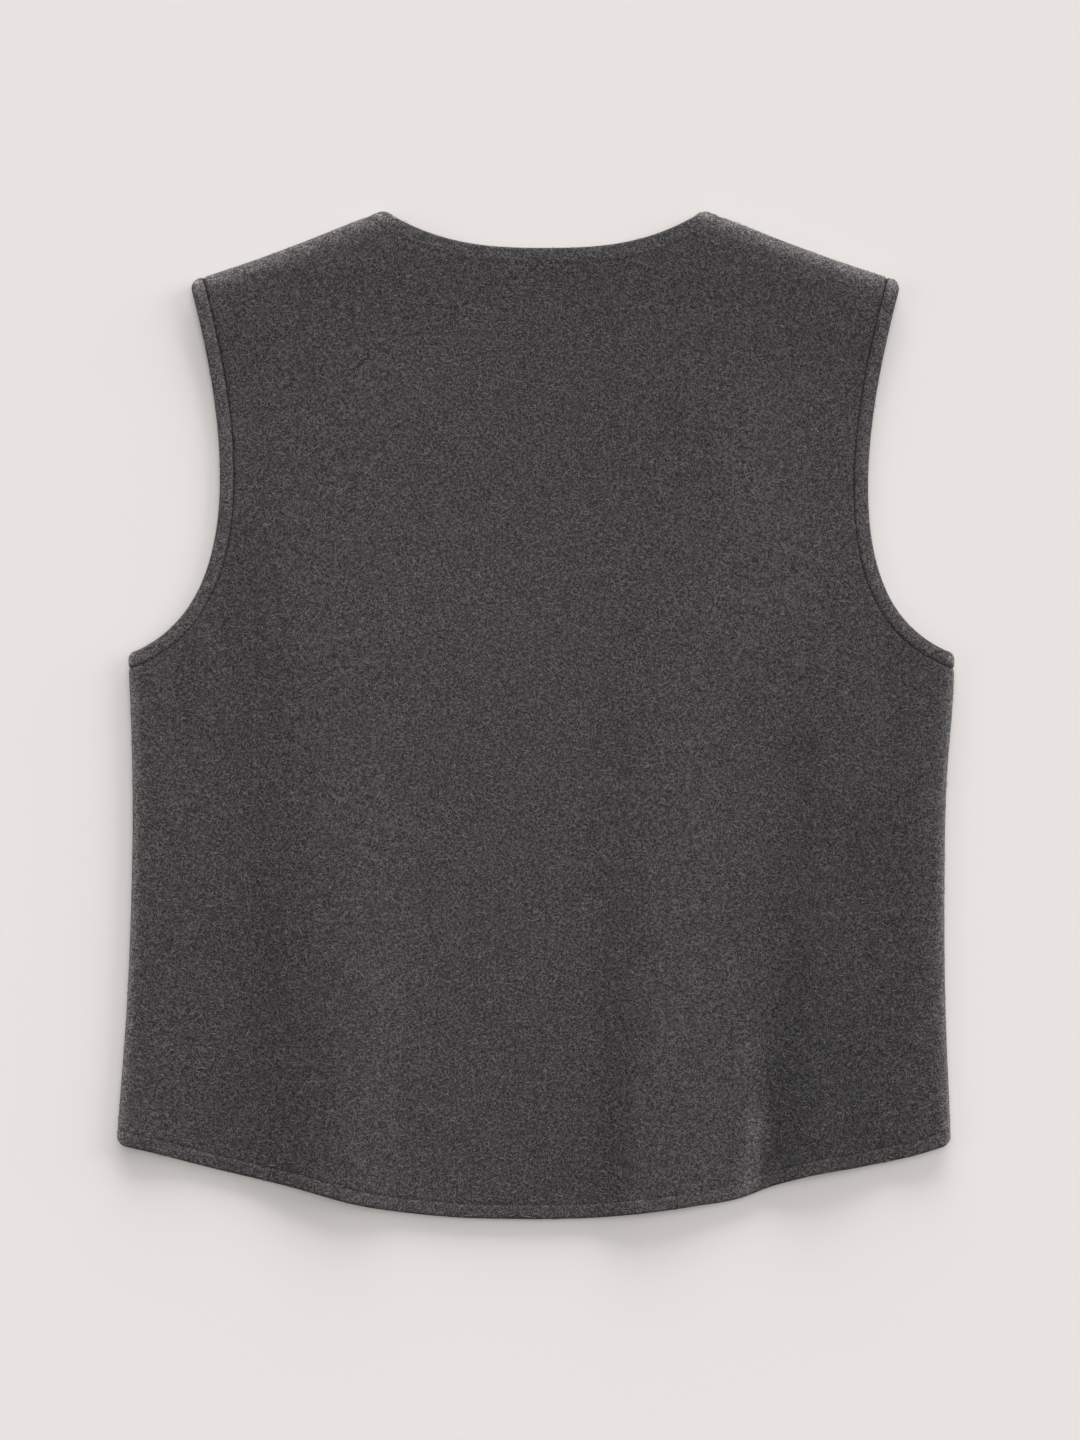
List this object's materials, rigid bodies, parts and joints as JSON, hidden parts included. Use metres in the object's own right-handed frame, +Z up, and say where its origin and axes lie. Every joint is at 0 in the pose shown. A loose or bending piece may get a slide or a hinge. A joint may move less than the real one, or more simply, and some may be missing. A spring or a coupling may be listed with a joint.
{
  "type": "sleeveless vest laid flat",
  "caption": "Collarless sleeveless wool vest lying flat with its back up, for wear over a shirt; soft folds, banded armholes and a shirt-tail hem.",
  "frame": {"origin": "middle of the vest's box, on the surface that it lies on", "axes": "+X across the vest, towards the right edge seen from above; +Y from the hem towards the neck; +Z up from the surface, out of the back"},
  "size_m": [0.5024, 0.6056, 0.011],
  "materials": {
    "felted_wool": "felted wool knit in a charcoal melange, matt with a short curly nap",
    "felted_wool_band": "the same felted wool, pressed and stitched down, slightly lighter"
  },
  "bodies": {
    "root": {"back_panel": "felted_wool", "front_panel": "felted_wool", "armhole_band_left": "felted_wool_band", "armhole_band_right": "felted_wool_band", "neck_band": "felted_wool_band", "hem_band": "felted_wool_band"}
  },
  "joints": []
}
